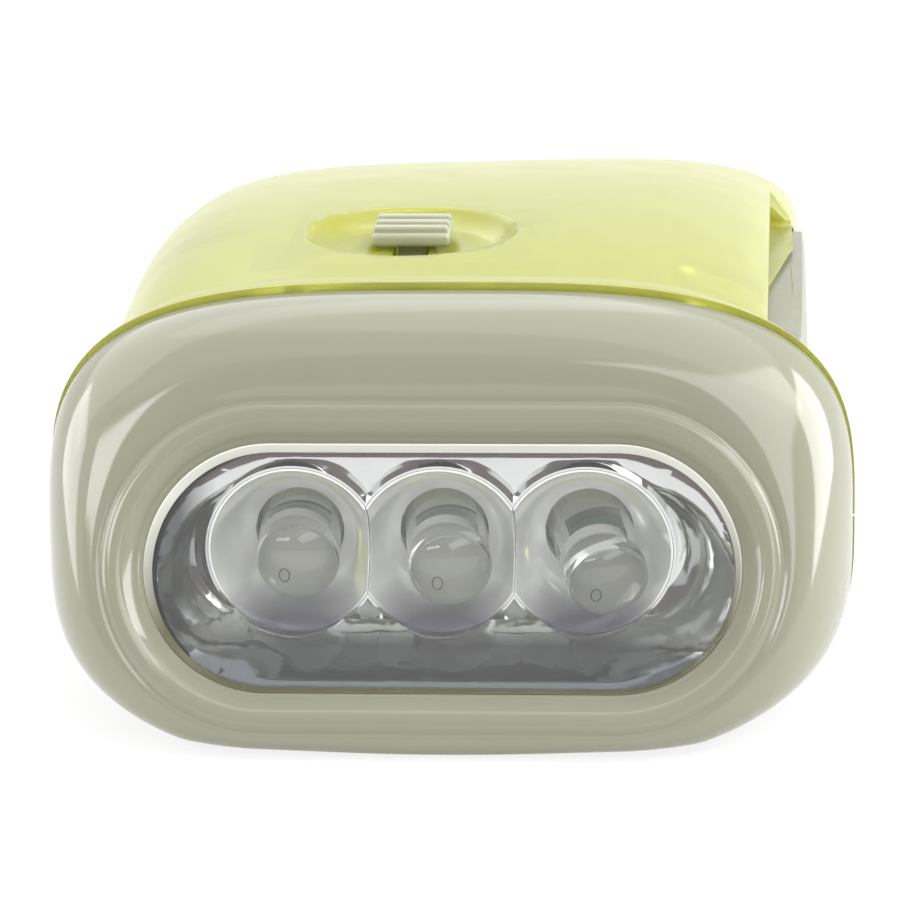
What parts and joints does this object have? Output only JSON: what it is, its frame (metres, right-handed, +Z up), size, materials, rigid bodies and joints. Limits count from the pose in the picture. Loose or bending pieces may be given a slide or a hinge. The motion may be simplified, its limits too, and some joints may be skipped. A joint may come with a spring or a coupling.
{
  "type": "hand squeezed dynamo torch",
  "caption": "Hand squeezed dynamo torch: a lever in one side turns a gear train and a magnet rotor that light the diodes behind a raked window.",
  "frame": {"origin": "middle of the underside, halfway along and across the torch", "axes": "+Z up from the underside, -Y out of the lit face, +X towards the squeeze lever"},
  "size_m": [0.049, 0.0959, 0.0254],
  "materials": {
    "translucent_yellow_plastic": "tinted translucent moulding, polished outside",
    "grey_plastic": "polished moulding",
    "clear_plastic": "clear flat window",
    "metallised_plastic": "bright vacuum metallised bowl",
    "clear_epoxy": "water clear cast body",
    "board_laminate": "green lacquered laminate",
    "gear_plastic": "natural white moulding",
    "ferrite": "pressed dark magnet, unpolished",
    "bright_steel": "plated sheet, wire and turned rod",
    "black_plastic": "moulded, fine matt",
    "copper_wire": "enamelled copper",
    "cell_sleeve": "shrunk green sleeve",
    "red_sleeve": "soft wire sleeve",
    "black_sleeve": "soft wire sleeve"
  },
  "bodies": {
    "housing": {"shell_top": "translucent_yellow_plastic", "shell_bottom": "translucent_yellow_plastic", "bezel": "grey_plastic", "lens": "clear_plastic", "reflector": "metallised_plastic", "led_1": "clear_epoxy", "led_2": "clear_epoxy", "led_3": "clear_epoxy", "led_board": "board_laminate", "control_board": "board_laminate", "stator_lower": "bright_steel", "stator_upper": "bright_steel", "pivot_pin": "bright_steel", "step_gear_pin": "bright_steel", "rotor_shaft": "bright_steel", "gear_plate": "bright_steel", "case_screw_1": "bright_steel", "case_screw_2": "bright_steel", "case_screw_3": "bright_steel", "plate_screw_1": "bright_steel", "plate_screw_2": "bright_steel", "plate_screw_3": "bright_steel", "switch_body": "bright_steel", "cell_tab_left": "bright_steel", "cell_tab_right": "bright_steel", "return_spring": "bright_steel", "coil_bobbin": "black_plastic", "rectifier_1": "black_plastic", "rectifier_2": "black_plastic", "rectifier_3": "black_plastic", "rectifier_4": "black_plastic", "capacitor": "black_plastic", "coil_winding": "copper_wire", "coil_wire": "copper_wire", "cell_pack": "cell_sleeve", "led_wire_red": "red_sleeve", "cell_wire_red": "red_sleeve", "led_wire_black": "black_sleeve"},
    "lever": {"squeeze_lever": "grey_plastic", "sector_gear": "gear_plastic"},
    "step": {"step_gear": "gear_plastic"},
    "rotor": {"rotor_pinion": "gear_plastic", "magnet_rotor": "ferrite"},
    "knob": {"switch_knob": "grey_plastic"},
    "lock": {"lock_slider": "grey_plastic"}
  },
  "joints": [
    {"name": "lever_pivot", "type": "hinge", "parent": "housing", "child": "lever", "pos_m": [0.0163, -0.0255, 0], "axis": [0, 0, -1], "range_deg": [0, 20]},
    {"name": "step_gear_spin", "type": "hinge", "parent": "housing", "child": "step", "pos_m": [-0.00193, 0.00367, 0], "axis": [0, 0, 1], "continuous": true},
    {"name": "rotor_spin", "type": "hinge", "parent": "housing", "child": "rotor", "pos_m": [0.00109, 0.02081, 0], "axis": [0, 0, 1], "continuous": true},
    {"name": "switch_slide", "type": "slide", "parent": "housing", "child": "knob", "axis": [0, -1, 0], "range_m": [0, 0.0025]},
    {"name": "lock_slide", "type": "slide", "parent": "housing", "child": "lock", "axis": [0, -1, 0], "range_m": [0, 0.003]}
  ],
  "couplings": [
    {"joint": "step_gear_spin", "follows": "lever_pivot", "ratio": 7.6},
    {"joint": "rotor_spin", "follows": "lever_pivot", "ratio": -36.48}
  ]
}
